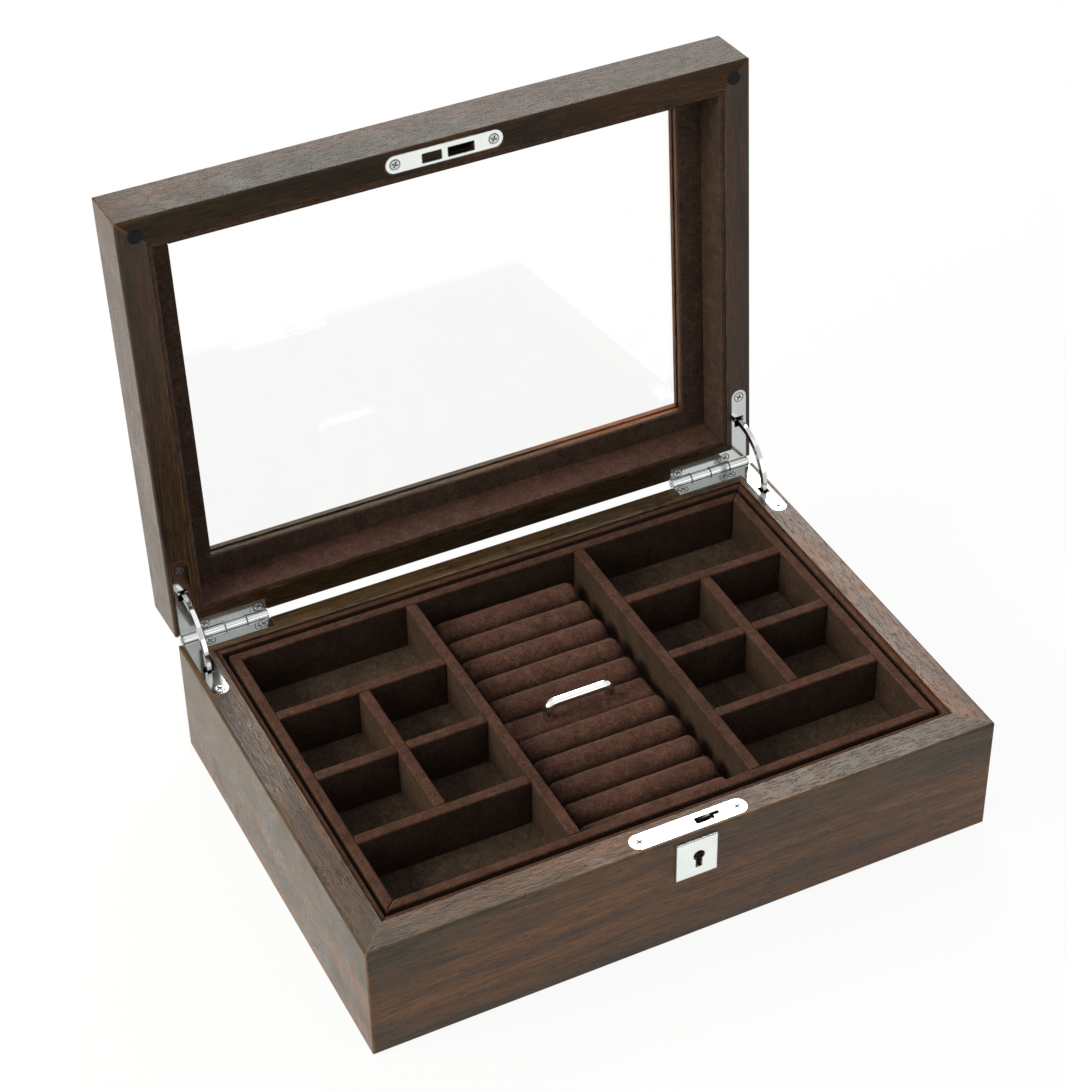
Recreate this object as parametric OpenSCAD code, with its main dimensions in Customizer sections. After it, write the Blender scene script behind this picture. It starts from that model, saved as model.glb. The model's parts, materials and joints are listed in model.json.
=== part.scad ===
// Wooden box for cufflinks and rings: a base with a lift-out tray and a glazed lid on quadrant hinges.
// The origin is the middle of the underside, X is to the right, Y to the back and Z up.
// The lid is drawn closed and then swung open about the hinge line.

/* [Box] */
// Width of the box
box_w = 300; // [260:1:360]
// Depth of the box, front to back
box_d = 213; // [190:1:260]
// Height of the base
base_h = 60.5; // [56:0.5:90]
// Height of the lid
lid_h = 28.4; // [27:0.2:45]
// Thickness of the base's front wall
front_wall_t = 14; // [13:0.5:18]
// Thickness of the base's side walls
side_wall_t = 13.2; // [12:0.2:18]
// Thickness of the base's back wall
back_wall_t = 10.8; // [9:0.2:16]
// Rounding of the outer edges of the wood
edge_r = 1.2; // [0.4:0.1:2]
// Thickness of the bottom panel
bottom_t = 4; // [3:0.5:6]
// How far the bottom panel goes into the walls
rebate_w = 5; // [3:0.5:7]
// Thickness of the felt under the box
felt_t = 1; // [0.5:0.1:2]

/* [Lid] */
// Angle of the lid when it stands open
lid_open = 94; // [85:1:100]
// Gap between the rims of the closed lid and the base
rim_gap = 0.6; // [0.6:0.1:2]
// Thickness of the lid's front rail
lid_front_t = 12.5; // [12:0.5:18]
// Thickness of the lid's side rails
lid_side_t = 13; // [12:0.2:18]
// Thickness of the lid's back rail
lid_back_t = 11.3; // [9:0.1:16]
// Width of the window frame at the sides
frame_side_w = 14.5; // [10:0.5:25]
// Width of the window frame at the front and the back
frame_end_w = 13.3; // [10:0.1:25]
// Thickness of the window frame
frame_t = 8.5; // [7:0.5:12]
// Thickness of the glass
glass_t = 3; // [2:0.5:4]
// How far the glass goes into the window frame
glass_grip = 4; // [2:0.5:6]
// Clearance around the edge of the glass
glass_fit = 0.3; // [0.1:0.1:1]
// Thickness of the lid's velvet liners
lid_liner_t = 2.4; // [1.5:0.1:4]
// Thickness of the velvet on the inside of the window frame
trim_t = 1.3; // [0.8:0.1:3]
// Radius of the bumper pads
bumper_r = 3.15; // [2:0.05:4]
// Height of the bumper pads
bumper_h = 0.5; // [0.2:0.1:0.5]
// Distance from the lid's side to the middle of a bumper pad
bumper_in_x = 8.2; // [6:0.1:9]
// Distance from the lid's front to the middle of a bumper pad
bumper_in_y = 8; // [6:0.1:9]

/* [Lining] */
// Thickness of the velvet liners in the base
liner_t = 2.8; // [1.5:0.1:4]
// Drop of the liners and the tray below the rim
liner_drop = 1; // [0.5:0.1:3]
// Thickness of the velvet pad on the floor
floor_pad_t = 2.2; // [1:0.1:4]
// Thickness of the velvet boards that carry the tray
ledge_t = 5.5; // [4:0.5:8]

/* [Tray] */
// Height of the tray
tray_h = 28; // [24:0.5:36]
// Gap between the tray and the side liners
tray_side_gap = 1.95; // [0.5:0.05:3]
// Gap between the tray and the front and back liners
tray_end_gap = 2.65; // [0.5:0.05:4]
// Thickness of the tray's walls
tray_wall_t = 4.8; // [3:0.1:7]
// Thickness of the tray's floor
tray_floor_t = 3.8; // [2:0.1:6]
// Thickness of the dividers
divider_t = 5.4; // [3:0.1:7]
// Distance from the middle of the box to each long divider
long_divider_x = 43.5; // [36:0.5:60]
// Distance between neighbouring cross dividers
row_pitch = 43.25; // [30:0.25:50]
// Shift of the rows from the tray's middle
row_shift = -1.9; // [-5:0.1:5]

/* [Ring rolls] */
// Radius of a ring roll
roll_r = 7.25; // [5:0.1:9]
// Gap between neighbouring rolls
roll_gap = 0.35; // [0.3:0.05:2]
// Gap between the rolls' ends and the long dividers
roll_end_gap = 4.8; // [1:0.1:8]
// Width of the padded strip that holds the handle
strip_w = 14.4; // [12:0.2:20]
// Height of the padded strip
strip_h = 10.7; // [6:0.1:14]
// Rounding of the padded strip's edges
strip_r = 2.4; // [1:0.1:4]

/* [Handle] */
// Distance between the handle's legs
handle_span = 31; // [24:0.5:50]
// Height of the handle above the strip
handle_h = 11.2; // [9:0.2:13]
// Radius of the handle's bar
handle_r = 2.4; // [1.6:0.1:2.6]
// Radius of the handle's bends, to the middle of the bar
handle_bend_r = 4; // [3:0.5:5]
// Radius of the handle's screws
handle_screw_r = 1.1; // [0.8:0.1:1.2]
// Depth of the screws in the handle's legs
handle_screw_grip = 3.5; // [2:0.5:5]

/* [Hinges] */
// Length of a hinge along the back
hinge_len = 42.2; // [38:0.2:60]
// Distance from the box's side to the hinge
hinge_inset = 2.3; // [1.5:0.1:4]
// Distance of the hinge line behind the box
pivot_back = 1.8; // [1.2:0.1:2]
// Radius of the hinge barrel
barrel_r = 2.4; // [2:0.1:3]
// Radius of the hinge pin
pin_r = 1; // [0.8:0.1:1.2]
// Radial clearance of the moving knuckles on the pin
pin_fit = 0.05; // [0.02:0.01:0.1]
// Gap between neighbouring knuckles
knuckle_gap = 0.3; // [0.2:0.1:0.5]
// Thickness of the hinge leaves
leaf_t = 1.5; // [1:0.1:2]
// Width of a leaf's back leg, from the hinge line
back_leg_w = 9.1; // [8.6:0.1:10]
// Width of a leaf's side leg
side_leg_w = 8.2; // [8:0.1:9]
// Length of a leaf's side leg, from the hinge line
side_leg_len = 42; // [40:0.5:60]
// Distance from the hinge line to the screws in the back leg
back_screw_y = 5.4; // [4.9:0.1:6]
// Distance from a leg's end to its screw
end_screw_in = 3.9; // [3.5:0.1:5]

/* [Quadrant stays] */
// Radius of the stays' arc
stay_r = 24; // [22:0.5:27]
// Width of a stay along its radius
stay_w = 3; // [2:0.1:4]
// Thickness of a stay
stay_t = 2.2; // [1.5:0.1:3]
// Width of the slots in the leaves
stay_slot_w = 4.5; // [3.5:0.1:5]
// Distance from the hinge line to the near end of the slots
slot_near = 21.4; // [17:0.1:21.8]
// Distance from the side leg's screw to the far end of the slots in the base
base_slot_far = 11.2; // [3:0.1:11.5]
// Distance from the hinge line to the far end of the slots in the lid
lid_slot_far = 26.7; // [26.4:0.1:33]
// Radius of the stays' stop pins
stop_pin_r = 1; // [0.8:0.1:1.3]
// Length of the stays' stop pins
stop_pin_len = 6.4; // [5.6:0.1:6.6]
// How far the stays reach past their stop pins
stay_past_pin = 1.4; // [1.2:0.1:2]

/* [Lock] */
// Place of the lock to the right of the middle
lock_x = 0.8; // [-5:0.1:5]
// Distance from the box's front to the middle of the lock plate
lock_in_y = 6.5; // [6:0.1:7]
// Length of the lock plate and the strike plate
plate_len = 56; // [50:0.5:70]
// Width of the lock plate
lock_plate_w = 9.3; // [8:0.1:10]
// Width of the strike plate
strike_plate_w = 8.7; // [8:0.1:10]
// Thickness of the lock plate and the strike plate
plate_t = 1.6; // [1:0.1:2]
// Distance from a plate's end to its screws
plate_screw_x = 4.6; // [4:0.1:8]
// Width of the bolt's slot in the lock plate
bolt_slot_w = 3.4; // [3:0.1:3.8]
// Width of the lock case
case_w = 35.2; // [32:0.2:38]
// Height of the lock case
case_h = 22.9; // [20.6:0.1:26]
// Thickness of the lock case
case_t = 7.4; // [6:0.1:8]
// Wall of the lock case
case_wall = 0.8; // [0.6:0.1:1]
// Distance from the rim down to the bolt's pivot
bolt_pivot_drop = 15.5; // [14:0.1:17]
// Distance from the lock's middle to the bolt's pivot, to the left
bolt_pivot_x = 9.8; // [8.8:0.1:10.8]
// Radius of the bolt's pivot
bolt_pivot_r = 1.5; // [1.2:0.1:2]
// Thickness of the hook bolt
bolt_t = 2.4; // [2:0.1:2.6]
// Inner radius of the hook
hook_in_r = 20.6; // [20:0.1:22.6]
// Outer radius of the hook
hook_out_r = 25.3; // [23.5:0.1:27.8]
// Width of the escutcheon
escutcheon_w = 20; // [16:0.5:24]
// Height of the escutcheon
escutcheon_h = 21; // [16:0.5:24]
// Thickness of the escutcheon
escutcheon_t = 1.5; // [1:0.1:2.5]
// Distance from the rim down to the middle of the escutcheon
escutcheon_drop = 12.9; // [12.5:0.1:14]
// Radius of the keyhole
keyhole_r = 2.5; // [2:0.1:3]
// Width of the keyhole's lower slot
keyhole_slot_w = 2.6; // [2:0.1:3]
// Length of the keyhole's slot, from the middle of its round part
keyhole_slot_len = 6.5; // [5:0.1:7]
// Distance from the rim down to the keyhole's round part
keyhole_drop = 11.8; // [10.6:0.1:13]
// Distance of the keyhole to the right of the lock's middle
keyhole_x = 1; // [0:0.1:2]
// Swing of the hook bolt
hook_swing = 37; // [30:1:40]
// Clearance of the hook bolt in the case and the slots
bolt_fit = 0.5; // [0.3:0.1:0.8]
// Length of the narrow step at the right end of the lock plate's slot
slot_step = 3.1; // [2:0.1:4]
// Extra length of the strike plate's slot to the right
strike_slot_spare = 2.3; // [1:0.1:4]
// Shift of the strike plate to the left of the lock plate
strike_shift = 1.4; // [0:0.1:3]
// Width of the strike plate's slots
strike_slot_w = 4.2; // [4:0.1:4.6]
// Shift of the strike plate's slots to the inside of the box
strike_slot_shift = 0.6; // [0:0.1:0.7]
// Length of the strike plate's left slot
left_slot_len = 9; // [6:0.1:10]
// Width of the bridge between the strike plate's slots
slot_bridge = 3.2; // [2.5:0.1:5]

/* [Screws and fits] */
// Radius of the wood screws' heads
screw_head_r = 2.4; // [2:0.1:2.5]
// Radius of the wood screws
screw_r = 1.2; // [0.9:0.1:1.5]
// Length of the wood screws
screw_len = 10; // [8:0.5:12]
// Clearance of screws in their holes
screw_fit = 0.02; // [0.01:0.01:0.1]
// Clearance around leaves and plates in their recesses
leaf_fit = 0.15; // [0.05:0.05:0.3]
// Clearance of the moving hinge parts and the stays in the wood
swing_fit = 0.5; // [0.4:0.1:0.8]

/* [Hidden] */

$fn = 48;
eps = 0.01;
big = 400;
knuckles = 4;

walnut = [0.33, 0.25, 0.19];
dark_walnut = [0.22, 0.15, 0.11];
velvet = [0.24, 0.14, 0.13];
dark_velvet = [0.16, 0.1, 0.09];
chrome = [0.8, 0.81, 0.8];
steel = [0.6, 0.6, 0.58];
plywood = [0.62, 0.5, 0.36];
pad_black = [0.07, 0.08, 0.12];
glass_tint = [0.85, 0.92, 0.92, 0.3];

// An outline is a rectangle given as its half width and its front and back edges.
function inset(o, side, end) = [o[0] - side, o[1] + end, o[2] - end];

box_out = [box_w / 2, -box_d / 2, box_d / 2];
base_in = [box_w / 2 - side_wall_t, -box_d / 2 + front_wall_t, box_d / 2 - back_wall_t];
liner_in = inset(base_in, liner_t, liner_t);
tray_out = inset(liner_in, tray_side_gap, tray_end_gap);
tray_in = inset(tray_out, tray_wall_t, tray_wall_t);
lid_in = [box_w / 2 - lid_side_t, -box_d / 2 + lid_front_t, box_d / 2 - lid_back_t];
lid_liner_in = inset(lid_in, lid_liner_t, lid_liner_t);
window = inset(lid_in, frame_side_w, frame_end_w);

floor_z = felt_t + bottom_t;
tray_top = base_h - liner_drop;
tray_z = tray_top - tray_h;
tray_floor_z = tray_z + tray_floor_t;
tray_mid_y = (tray_in[1] + tray_in[2]) / 2;
divider_h = tray_top - tray_floor_z;
half_lap_z = tray_floor_z + divider_h / 2;
row_y = tray_mid_y + row_shift;
bay_x = long_divider_x - divider_t / 2;
side_bay_in = long_divider_x + divider_t / 2;
short_divider_x = (side_bay_in + tray_in[0]) / 2;

roll_len = 2 * (bay_x - roll_end_gap);
roll_end_power = 22;
roll_room_front = row_y - tray_in[1] - strip_w / 2;
roll_room_back = tray_in[2] - row_y - strip_w / 2;
rolls_front = floor(roll_room_front / (2 * roll_r + roll_gap));
roll_pitch = roll_room_front / rolls_front;
rolls_back = floor(roll_room_back / roll_pitch);
roll_first = strip_w / 2 + roll_pitch / 2;

pivot_y = box_d / 2 + pivot_back;
pivot_z = base_h + rim_gap / 2;
lid_z = base_h + rim_gap;
lid_top = lid_z + lid_h;
frame_z = lid_top - frame_t;
glass_z = frame_z + (frame_t - glass_t) / 2;
lid_liner_gap = 0.3;
trim_seam = 0.2;

hinge_out_x = box_w / 2 - hinge_inset;
hinge_in_x = hinge_out_x - hinge_len;
leg_mid_x = hinge_out_x - side_leg_w / 2;
knuckle_pitch = hinge_len / knuckles;
leaf_back_y = pivot_y - barrel_r - knuckle_gap;
side_screw_y = pivot_y - side_leg_len + side_leg_w / 2;
back_screw_far_x = hinge_in_x + end_screw_in;
back_screw_near_x = hinge_out_x - side_leg_w - end_screw_in;

stop_gap = 0.1;
// Angle past the rim plane at which a stop pin rests under its leaf
stop_angle = asin((rim_gap / 2 + leaf_t + stop_pin_r + stop_gap) / stay_r);
stay_end_angle = stop_angle + stay_past_pin / stay_r * 180 / PI;
stay_swing = lid_open / 2 + stay_end_angle;
stay_out_r = stay_r + stay_w / 2;
base_slot_r = pivot_y - side_screw_y - base_slot_far;
mortise_w = stop_pin_len + 2 * swing_fit;
mortise_near = min(slot_near, (stay_r - stay_w / 2) * cos(stay_swing) - swing_fit);
mortise_depth = stay_out_r * sin(min(90, stay_swing)) + swing_fit;

lock_y = -box_d / 2 + lock_in_y;
plate_z = base_h - plate_t;
strike_z = lid_z + plate_t;
bolt_x = lock_x - bolt_pivot_x;
bolt_z = base_h - bolt_pivot_drop;
bolt_hub_wall = 1.7;
bolt_hub_r = bolt_pivot_r + bolt_hub_wall;
// How high above the pivot the bolt may reach under the lock plate
bolt_room = bolt_pivot_drop - plate_t - bolt_fit;
hook_tip = asin(bolt_room / hook_out_r);
hook_tail = -12;
arm_top = asin(bolt_room / hook_in_r) - hook_swing;
case_x = bolt_x + hook_out_r + bolt_fit + case_wall - case_w / 2;
case_z = plate_z - case_h;
key_x = lock_x + keyhole_x;
key_z = base_h - keyhole_drop;
hook_pocket_x = bolt_x + hook_in_r * cos(hook_tip + hook_swing) - bolt_fit;
hook_pocket_h = hook_out_r - bolt_pivot_drop;
strike_x = lock_x - strike_shift;
lock_slot_left = crossing(hook_in_r, bolt_pivot_drop) - bolt_fit;
lock_slot_right = crossing(hook_out_r, bolt_pivot_drop - plate_t) + bolt_fit;
strike_slot_left = crossing(hook_in_r, bolt_pivot_drop + rim_gap + plate_t) - bolt_fit;
strike_slot_right = crossing(hook_out_r, bolt_pivot_drop + rim_gap) + bolt_fit + strike_slot_spare;
spring_t = 0.5;
spring_gap = 0.4;
spring_foot = 5.5;
spring_h = 13;

// Where the hook's edge of radius r is when it crosses a plane at a height above the pivot
function crossing(r, height) = bolt_x + sqrt(max(0, r * r - height * height));

// Carries a closed lid part to its open place.
module opened() {
    translate([0, pivot_y, pivot_z])
        rotate([-lid_open, 0, 0])
            translate([0, -pivot_y, -pivot_z])
                children();
}

// Turns a shape on the base's rim into the same shape on the closed lid's rim.
module on_lid_rim() {
    translate([0, 0, 2 * pivot_z])
        mirror([0, 0, 1])
            children();
}

module rounded_rect(w, d, r) {
    square([w - 2 * r, d], center = true);
    square([w, d - 2 * r], center = true);
    for (sx = [-1, 1], sy = [-1, 1])
        translate([sx * (w / 2 - r), sy * (d / 2 - r)])
            circle(r);
}

// A block with round outer edges, as the sanded outside of the box.
module rounded_block(w, d, h, r) {
    intersection() {
        linear_extrude(h)
            rounded_rect(w, d, r);
        translate([0, d, h / 2])
            rotate([90, 0, 0])
                linear_extrude(2 * d)
                    rounded_rect(w, h, r);
        translate([-w, 0, h / 2])
            rotate([90, 0, 90])
                linear_extrude(2 * w)
                    rounded_rect(d, h, r);
    }
}

// One side of a mitred frame between an outer and an inner outline.
module mitred(side, outer, inner, z, h) {
    points = side == "front" ? [[-outer[0], outer[1]], [outer[0], outer[1]],
                                [inner[0], inner[1]], [-inner[0], inner[1]]]
        : side == "back" ? [[-outer[0], outer[2]], [-inner[0], inner[2]],
                            [inner[0], inner[2]], [outer[0], outer[2]]]
        : side == "left" ? [[-outer[0], outer[1]], [-inner[0], inner[1]],
                            [-inner[0], inner[2]], [-outer[0], outer[2]]]
        : [[outer[0], outer[1]], [outer[0], outer[2]],
           [inner[0], inner[2]], [inner[0], inner[1]]];
    translate([0, 0, z])
        linear_extrude(h)
            polygon(points);
}

// A block that fills an outline.
module filled(o, z, h) {
    translate([-o[0], o[1], z])
        cube([2 * o[0], o[2] - o[1], h]);
}

// An arc-shaped bar round the X axis, counted from the front upwards.
module arc_about_x(r, w, t, from, to) {
    rotate([90, 0, -90])
        rotate([0, 0, from])
            rotate_extrude(angle = to - from)
                translate([r - w / 2, -t / 2])
                    square([w, t]);
}

// A countersunk screw with its head's face at the origin, pointing down. grow widens it into its hole.
module screw_body(head_r, r, length, grow) {
    head_h = head_r - r;
    rotate_extrude()
        polygon([[0, grow > 0 ? eps : 0], [head_r + grow, grow > 0 ? eps : 0], [head_r + grow, 0],
                 [r + grow, -head_h], [r + grow, -length + r], [0, -length - grow]]);
}

module screw(head_r, r, length) {
    slot_w = head_r / 5;
    slot_depth = head_r / 4;
    slot_len = head_r * 1.2;
    difference() {
        screw_body(head_r, r, length, 0);
        for (turn = [20, 110])
            rotate([0, 0, turn])
                translate([-slot_len / 2, -slot_w / 2, -slot_depth])
                    cube([slot_len, slot_w, head_r]);
    }
}

module wood_screw() {
    screw(screw_head_r, screw_r, screw_len);
}

module wood_screw_hole() {
    screw_body(screw_head_r, screw_r, screw_len, screw_fit);
}

// Places its children at the screws of both hinges, on the base's rim.
module at_hinge_screws() {
    for (s = [-1, 1]) {
        translate([s * back_screw_far_x, pivot_y - back_screw_y, base_h])
            children();
        translate([s * back_screw_near_x, pivot_y - back_screw_y, base_h])
            children();
        translate([s * leg_mid_x, side_screw_y, base_h])
            children();
    }
}

// Places its children at the screws of a lock or strike plate, on the base's rim.
module at_plate_screws(middle) {
    for (s = [-1, 1])
        translate([middle + s * (plate_len / 2 - plate_screw_x), lock_y, base_h])
            children();
}

// The right leaf's L shape seen from above, up to the line in front of the knuckles.
module leaf_outline(grow) {
    translate([hinge_in_x - grow, pivot_y - back_leg_w - grow])
        square([hinge_len + 2 * grow, back_leg_w + grow - barrel_r - knuckle_gap]);
    translate([hinge_out_x - side_leg_w - grow, side_screw_y])
        square([side_leg_w + 2 * grow, leaf_back_y - side_screw_y]);
    translate([leg_mid_x, side_screw_y])
        circle(side_leg_w / 2 + grow);
}

// The recess of one hinge leaf and the room for its barrel, cut in the base's rim on the right.
module hinge_recess() {
    translate([0, 0, base_h - leaf_t])
        linear_extrude(big)
            union() {
                leaf_outline(leaf_fit);
                translate([hinge_in_x - leaf_fit, leaf_back_y - eps])
                    square([hinge_len + 2 * leaf_fit, big]);
            }
    translate([hinge_in_x - swing_fit, pivot_y, pivot_z])
        rotate([0, 90, 0])
            cylinder(r = barrel_r + swing_fit, h = hinge_len + 2 * swing_fit);
}

// The pocket of a quadrant stay in the base's rim on the right.
module stay_mortise(slot_far) {
    far = max(slot_far, stay_out_r + swing_fit);
    translate([leg_mid_x - mortise_w / 2, pivot_y - far, pivot_z - mortise_depth])
        cube([mortise_w, far - mortise_near, mortise_depth]);
}

// All that is cut from the base's rim for the hinges, on both sides.
module hinge_cuts(slot_far) {
    for (s = [0, 1])
        mirror([s, 0, 0]) {
            hinge_recess();
            stay_mortise(slot_far);
        }
    at_hinge_screws()
        wood_screw_hole();
}

// A plate with round ends on the base's rim, going down.
module rim_plate(middle, w, grow, t) {
    translate([middle, lock_y, base_h - t])
        linear_extrude(t) {
            square([plate_len - w, w + 2 * grow], center = true);
            for (s = [-1, 1])
                translate([s * (plate_len - w) / 2, 0])
                    circle(w / 2 + grow);
        }
}

// A slot in a rim plate, from x to x. off moves it to the back.
module plate_slot(x0, x1, w, off = 0) {
    translate([x0, lock_y + off - w / 2, base_h - plate_t - eps])
        cube([x1 - x0, w, plate_t + 2 * eps]);
}

module keyhole(grow, depth) {
    translate([key_x, -box_d / 2 - escutcheon_t - eps, key_z])
        rotate([-90, 0, 0])
            linear_extrude(depth) {
                circle(keyhole_r + grow);
                translate([-keyhole_slot_w / 2 - grow, 0])
                    square([keyhole_slot_w + 2 * grow, keyhole_slot_len + grow]);
            }
}

module lock_mortise() {
    translate([case_x - case_w / 2 - leaf_fit, lock_y - case_t / 2 - leaf_fit, case_z - leaf_fit])
        cube([case_w + 2 * leaf_fit, case_t + 2 * leaf_fit, big]);
}

module base_wall(side) {
    color(walnut)
        difference() {
            intersection() {
                mitred(side, box_out, base_in, 0, base_h);
                rounded_block(box_w, box_d, base_h, edge_r);
            }
            filled(inset(base_in, -rebate_w, -rebate_w), -eps, floor_z + eps);
            if (side != "front")
                hinge_cuts(base_slot_r);
            if (side == "front") {
                translate([0, 0, eps])
                    rim_plate(lock_x, lock_plate_w, leaf_fit, plate_t + eps);
                lock_mortise();
                keyhole(leaf_fit, escutcheon_t + lock_in_y);
                at_plate_screws(lock_x)
                    wood_screw_hole();
            }
        }
}

module front_wall() { base_wall("front"); }
module back_wall() { base_wall("back"); }
module left_wall() { base_wall("left"); }
module right_wall() { base_wall("right"); }

module bottom_panel() {
    color(plywood)
        filled(inset(base_in, -rebate_w, -rebate_w), felt_t, bottom_t);
}

module underside_felt() {
    color(dark_velvet)
        filled(inset(base_in, -rebate_w, -rebate_w), 0, felt_t);
}

module base_liner(side) {
    color(velvet)
        mitred(side, base_in, liner_in, floor_z, tray_top - floor_z);
}

module front_liner() { base_liner("front"); }
module back_liner() { base_liner("back"); }
module left_liner() { base_liner("left"); }
module right_liner() { base_liner("right"); }

module storage_floor_pad() {
    color(dark_velvet)
        filled(inset(liner_in, ledge_t, 0), floor_z, floor_pad_t);
}

// The left board that carries the tray.
module tray_ledge() {
    color(velvet)
        translate([-liner_in[0], liner_in[1], floor_z])
            cube([ledge_t, liner_in[2] - liner_in[1], tray_z - floor_z]);
}

module tray_ledge_left() { tray_ledge(); }
module tray_ledge_right() { mirror([1, 0, 0]) tray_ledge(); }

// The leaf of the right hinge on the base's rim. first is 0 or 1, the first of its knuckles.
module hinge_leaf(first, slot_far, bore_grow) {
    slot_len = slot_far - slot_near;
    color(chrome)
        difference() {
            union() {
                translate([0, 0, base_h - leaf_t])
                    linear_extrude(leaf_t)
                        leaf_outline(0);
                for (k = [first:2:knuckles - 1])
                    translate([hinge_in_x + k * knuckle_pitch + knuckle_gap / 2, 0, 0]) {
                        translate([0, leaf_back_y - eps, base_h - leaf_t])
                            cube([knuckle_pitch - knuckle_gap, pivot_y - leaf_back_y, leaf_t]);
                        translate([0, pivot_y, pivot_z])
                            rotate([0, 90, 0])
                                cylinder(r = barrel_r, h = knuckle_pitch - knuckle_gap);
                    }
            }
            translate([hinge_in_x - 1, pivot_y, pivot_z])
                rotate([0, 90, 0])
                    cylinder(r = pin_r + bore_grow, h = hinge_len + 2);
            translate([leg_mid_x - stay_slot_w / 2, pivot_y - slot_far, base_h - leaf_t - eps])
                cube([stay_slot_w, slot_len, leaf_t + 2 * eps]);
            at_hinge_screws()
                wood_screw_hole();
        }
}

module base_leaf() {
    hinge_leaf(0, base_slot_r, 0);
}

module lid_leaf() {
    opened()
        on_lid_rim()
            hinge_leaf(1, lid_slot_far, pin_fit);
}

module base_hinge_leaf_right() { base_leaf(); }
module base_hinge_leaf_left() { mirror([1, 0, 0]) base_leaf(); }
module lid_hinge_leaf_right() { lid_leaf(); }
module lid_hinge_leaf_left() { mirror([1, 0, 0]) lid_leaf(); }

module hinge_pins() {
    color(chrome)
        for (s = [0, 1])
            mirror([s, 0, 0])
                translate([hinge_in_x, pivot_y, pivot_z])
                    rotate([0, 90, 0])
                        cylinder(r = pin_r, h = hinge_len);
}

module base_hinge_screws() {
    color(chrome)
        at_hinge_screws()
            wood_screw();
}

module lid_hinge_screws() {
    color(chrome)
        opened()
            on_lid_rim()
                at_hinge_screws()
                    wood_screw();
}

// The right quadrant stay with its two stop pins, at the open lid.
module stay() {
    color(chrome)
        translate([leg_mid_x, pivot_y, pivot_z]) {
            arc_about_x(stay_r, stay_w, stay_t, -stay_end_angle, lid_open + stay_end_angle);
            for (a = [-stop_angle, lid_open + stop_angle])
                translate([0, -stay_r * cos(a), stay_r * sin(a)])
                    rotate([0, 90, 0])
                        cylinder(r = stop_pin_r, h = stop_pin_len, center = true);
        }
}

module stay_right() { stay(); }
module stay_left() { mirror([1, 0, 0]) stay(); }

module lock_plate() {
    color(chrome)
        difference() {
            rim_plate(lock_x, lock_plate_w, 0, plate_t);
            plate_slot(lock_slot_left, lock_slot_right, bolt_slot_w);
            plate_slot(lock_slot_right - eps, lock_slot_right + slot_step, bolt_slot_w / 2, bolt_slot_w / 4);
            at_plate_screws(lock_x)
                wood_screw_hole();
        }
}

module lock_plate_screws() {
    color(chrome)
        at_plate_screws(lock_x)
            wood_screw();
}

module lock_case() {
    inner = case_t - 2 * case_wall;
    color(steel)
        difference() {
            translate([case_x - case_w / 2, lock_y - case_t / 2, case_z])
                cube([case_w, case_t, case_h]);
            translate([case_x - case_w / 2 + case_wall, lock_y - inner / 2, case_z + case_wall])
                cube([case_w - 2 * case_wall, inner, case_h]);
            keyhole(0, escutcheon_t + lock_in_y);
            translate([bolt_x, lock_y, bolt_z])
                rotate([90, 0, 0])
                    cylinder(r = bolt_pivot_r, h = case_t + 2, center = true);
        }
}

// The hook swings up out of the case about its pivot at the left.
module hook_bolt() {
    color(steel)
        translate([bolt_x, lock_y, bolt_z])
            rotate([90, 0, 0])
                difference() {
                    union() {
                        translate([0, 0, -bolt_t / 2])
                            cylinder(r = bolt_hub_r, h = bolt_t);
                        rotate([0, 0, hook_tail])
                            rotate_extrude(angle = arm_top - hook_tail)
                                translate([bolt_pivot_r, -bolt_t / 2])
                                    square([hook_out_r - bolt_pivot_r, bolt_t]);
                        rotate([0, 0, hook_tail])
                            rotate_extrude(angle = hook_tip - hook_tail)
                                translate([hook_in_r, -bolt_t / 2])
                                    square([hook_out_r - hook_in_r, bolt_t]);
                    }
                    cylinder(r = bolt_pivot_r + pin_fit, h = bolt_t + 2, center = true);
                }
}

module bolt_pivot() {
    color(steel)
        translate([bolt_x, lock_y, bolt_z])
            rotate([90, 0, 0])
                cylinder(r = bolt_pivot_r, h = case_t, center = true);
}

// A flat spring beside the bolt's hub. Its foot runs from the case's end along the floor.
module detent_spring() {
    blade_x = bolt_x - bolt_hub_r - spring_gap - spring_t;
    foot_x = case_x - case_w / 2 + case_wall;
    color(steel)
        translate([0, lock_y - bolt_t / 2, case_z + case_wall]) {
            translate([blade_x, 0, 0])
                cube([spring_t, bolt_t, spring_h]);
            translate([foot_x, 0, 0])
                cube([blade_x + spring_foot - foot_x, bolt_t, spring_t]);
        }
}

module escutcheon() {
    color(chrome)
        difference() {
            translate([lock_x - escutcheon_w / 2, -box_d / 2 - escutcheon_t,
                       base_h - escutcheon_drop - escutcheon_h / 2])
                cube([escutcheon_w, escutcheon_t, escutcheon_h]);
            keyhole(0, escutcheon_t + 2 * eps);
        }
}

module lid_rail(side) {
    color(dark_walnut)
        opened()
            difference() {
                intersection() {
                    mitred(side, box_out, lid_in, lid_z, lid_h);
                    translate([0, 0, lid_z])
                        rounded_block(box_w, box_d, lid_h, edge_r);
                }
                on_lid_rim() {
                    if (side != "front")
                        hinge_cuts(lid_slot_far);
                    if (side == "front") {
                        translate([0, 0, eps])
                            rim_plate(strike_x, strike_plate_w, leaf_fit, plate_t + eps);
                        translate([hook_pocket_x, lock_y + strike_slot_shift - strike_slot_w / 2,
                                   base_h - hook_pocket_h])
                            cube([strike_slot_right - hook_pocket_x, strike_slot_w, hook_pocket_h]);
                        at_plate_screws(strike_x)
                            wood_screw_hole();
                    }
                }
            }
}

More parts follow.
